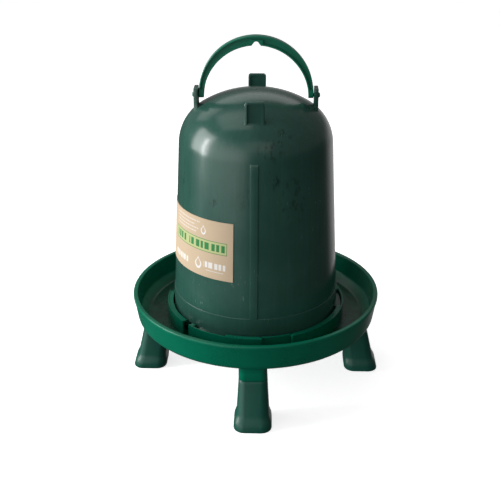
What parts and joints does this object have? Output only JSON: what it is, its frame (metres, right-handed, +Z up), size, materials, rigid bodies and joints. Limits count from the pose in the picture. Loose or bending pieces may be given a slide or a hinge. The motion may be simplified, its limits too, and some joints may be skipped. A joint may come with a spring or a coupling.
{
  "type": "poultry waterer",
  "caption": "Domed drinking fount standing over a round water trough on push-fit legs, with a swinging carry handle and a turn-and-lift trough.",
  "frame": {"origin": "on the reservoir's axis, on the floor under the feet", "axes": "+Z up the reservoir's axis; -Y the front, with the raised strip; +X to the right, along the handle's pivot pins"},
  "size_m": [0.351, 0.351, 0.471],
  "materials": {
    "tray_plastic": "glossy injection moulding, emerald green",
    "reservoir_plastic": "satin recycled moulding, dark grey-green",
    "handle_plastic": "glossy injection moulding, emerald green",
    "leg_plastic": "satin injection moulding, dark green",
    "kraft_label": "uncoated brown kraft paper"
  },
  "bodies": {
    "trough": {"tray": "tray_plastic", "leg_front": "leg_plastic", "leg_right": "leg_plastic", "leg_back": "leg_plastic", "leg_left": "leg_plastic"},
    "fount": {"reservoir": "reservoir_plastic", "paper_label": "kraft_label"},
    "bail": {"handle": "handle_plastic"}
  },
  "joints": [
    {"name": "reservoir_lift", "type": "slide", "parent": "trough", "child": "fount", "axis": [0, 0, 1], "range_m": [0, 0.06]},
    {"name": "handle_swing", "type": "hinge", "parent": "fount", "child": "bail", "pos_m": [0, 0, 0.396], "axis": [1, 0, 0], "range_deg": [-76, 76]}
  ]
}
